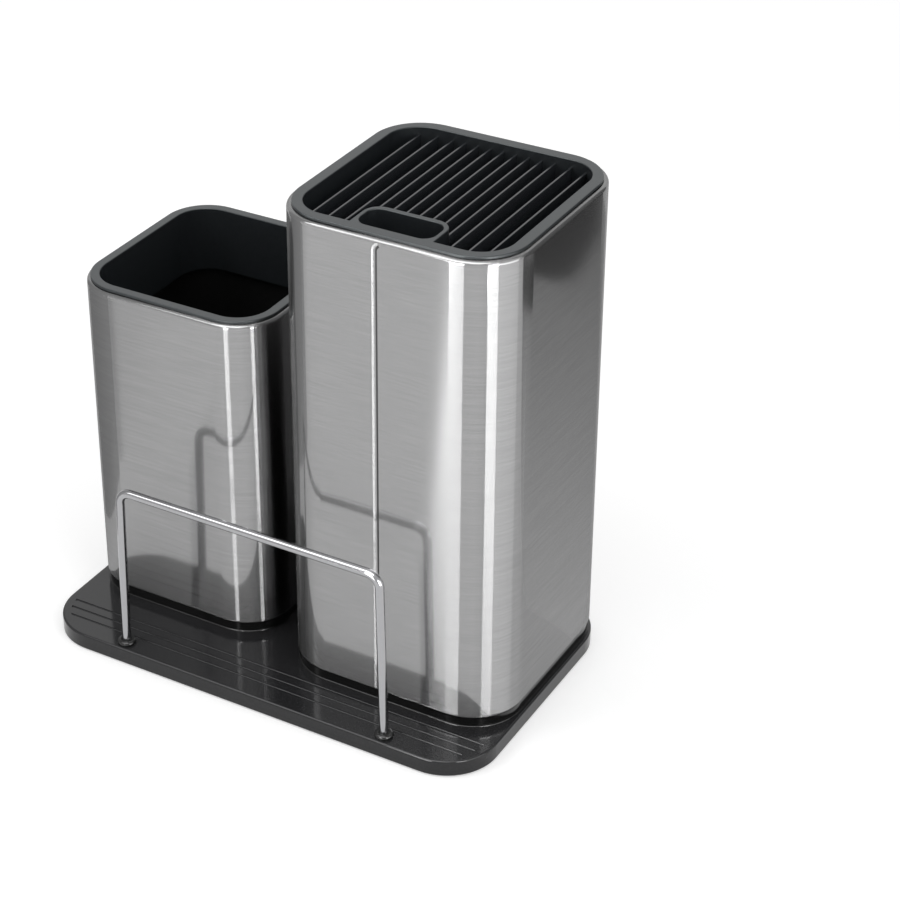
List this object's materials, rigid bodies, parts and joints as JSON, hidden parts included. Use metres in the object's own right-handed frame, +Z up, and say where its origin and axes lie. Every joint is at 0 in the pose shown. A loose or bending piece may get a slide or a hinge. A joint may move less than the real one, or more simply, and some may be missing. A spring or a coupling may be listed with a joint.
{
  "type": "knife and board organizer",
  "caption": "Countertop organizer: tall square steel knife tower with slotted insert, shorter open utensil tower, black tray and wire rail for cutting boards.",
  "frame": {"origin": "on the table, under the middle of the tray", "axes": "+X to the right along the front, +Y to the back, +Z up"},
  "size_m": [0.2244, 0.137, 0.2347],
  "materials": {
    "tray_gloss": "glossy black moulded plastic",
    "plinth_gloss": "glossy black moulded plastic",
    "rim_satin": "satin dark grey moulded plastic",
    "slat_black": "satin black plastic",
    "liner_black": "fine textured black plastic",
    "grommet_black": "black plastic",
    "foot_rubber": "soft matte rubber",
    "brushed_steel": "stainless sheet brushed along the horizontal",
    "rail_chrome": "bright plated wire",
    "screw_steel": "zinc plated"
  },
  "bodies": {
    "base": {"base_tray": "tray_gloss", "tray_feet": "foot_rubber", "rail_grommets": "grommet_black", "knife_shell": "brushed_steel", "knife_base_cap": "plinth_gloss", "knife_liner": "liner_black", "knife_tower_screws": "screw_steel", "utensil_shell": "brushed_steel", "utensil_base_cap": "plinth_gloss", "utensil_liner": "liner_black", "utensil_tower_screws": "screw_steel"},
    "rail": {"board_rail": "rail_chrome"},
    "slotted_insert": {"knife_insert": "rim_satin", "blade_slats": "slat_black"},
    "collar": {"utensil_collar": "rim_satin"}
  },
  "joints": [
    {"name": "rail_lift", "type": "slide", "parent": "base", "child": "rail", "axis": [0, 0, 1], "range_m": [0, 0.1]},
    {"name": "insert_lift", "type": "slide", "parent": "base", "child": "slotted_insert", "axis": [0, 0, 1], "range_m": [0, 0.06]},
    {"name": "collar_lift", "type": "slide", "parent": "base", "child": "collar", "axis": [0, 0, 1], "range_m": [0, 0.06]}
  ]
}
